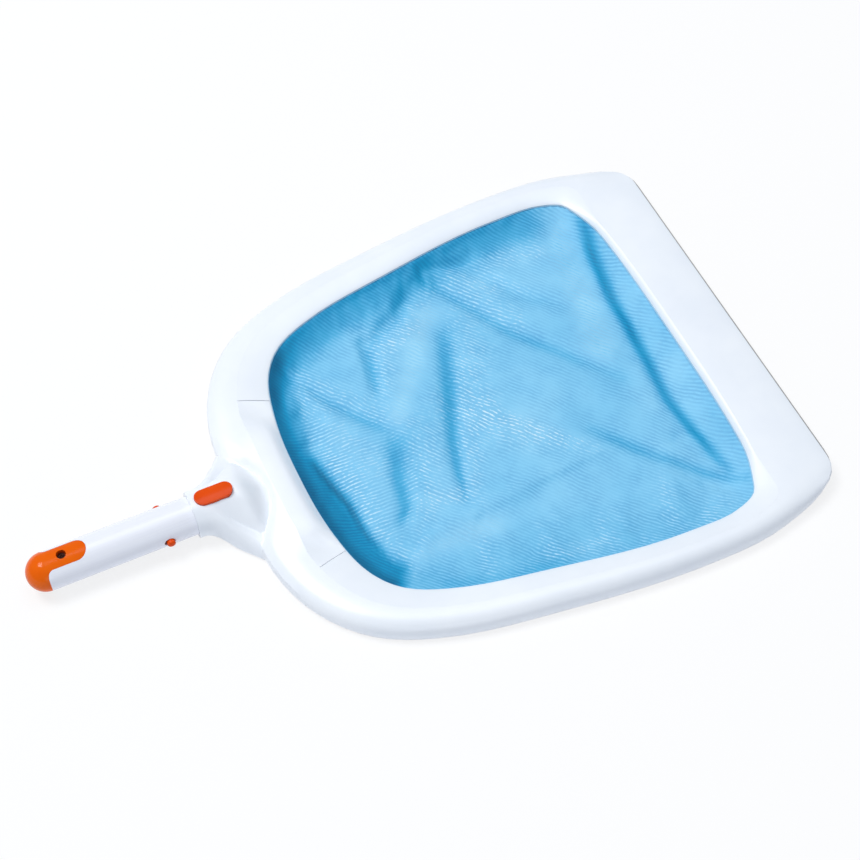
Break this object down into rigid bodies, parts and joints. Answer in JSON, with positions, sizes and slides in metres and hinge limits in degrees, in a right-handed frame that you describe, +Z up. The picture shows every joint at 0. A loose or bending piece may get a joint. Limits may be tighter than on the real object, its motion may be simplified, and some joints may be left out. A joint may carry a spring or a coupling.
{
  "type": "leaf skimmer net",
  "caption": "Leaf skimmer net: moulded scoop frame with a flat front lip and a shallow fine-mesh pan, on a tube handle whose press-button latch locks it into a telescopic pole.",
  "frame": {"origin": "middle of the bounding box in plan, on the floor the part lies on", "axes": "+X from the handle to the scoop lip, +Z up out of the mesh pan, +Y to the left of the handle seen from behind it"},
  "size_m": [0.557, 0.366, 0.0359],
  "materials": {
    "white_moulding": "smooth, slightly glossy injection-moulded white",
    "white_tube": "smooth extruded white tube, semi-gloss",
    "mesh": "fine sky-blue woven mesh",
    "hem": "woven binding tape",
    "orange_plastic": "glossy orange",
    "grey_plastic": "matt, moulded",
    "steel": "stainless",
    "dark_steel": "black coated steel"
  },
  "bodies": {
    "frame": {"frame_shell": "white_moulding", "side_bezel": "white_moulding", "rear_bezel": "white_moulding", "bezel_screws": "steel", "net": "mesh", "net_hem": "hem", "neck_cover": "white_moulding", "cover_screws": "steel", "handle_shank": "white_tube", "shank_screw": "steel", "latch_carrier": "grey_plastic", "arm_pivots": "steel", "button_spring": "steel", "end_cap": "orange_plastic", "cap_plug": "grey_plastic", "end_cap_screw": "dark_steel"},
    "button": {"release_button": "orange_plastic"},
    "arm_left": {"latch_arm_left": "orange_plastic"},
    "arm_right": {"latch_arm_right": "orange_plastic"}
  },
  "joints": [
    {"name": "button_press", "type": "slide", "parent": "frame", "child": "button", "axis": [0, 0, -1], "range_m": [0, 0.0032], "stiffness_N_per_m": 700, "springref_m": -0.004, "deforming": ["button_spring"]},
    {"name": "arm_left_swing", "type": "hinge", "parent": "frame", "child": "arm_left", "pos_m": [-0.1575, 0.0083, 0.01715], "axis": [0, 0, 1], "range_deg": [0, 10]},
    {"name": "arm_right_swing", "type": "hinge", "parent": "frame", "child": "arm_right", "pos_m": [-0.1575, -0.0083, 0.01715], "axis": [0, 0, -1], "range_deg": [0, 10]}
  ],
  "couplings": [
    {"joint": "arm_left_swing", "follows": "button_press", "rad_per_m": 54.177},
    {"joint": "arm_right_swing", "follows": "button_press", "rad_per_m": 54.177}
  ]
}
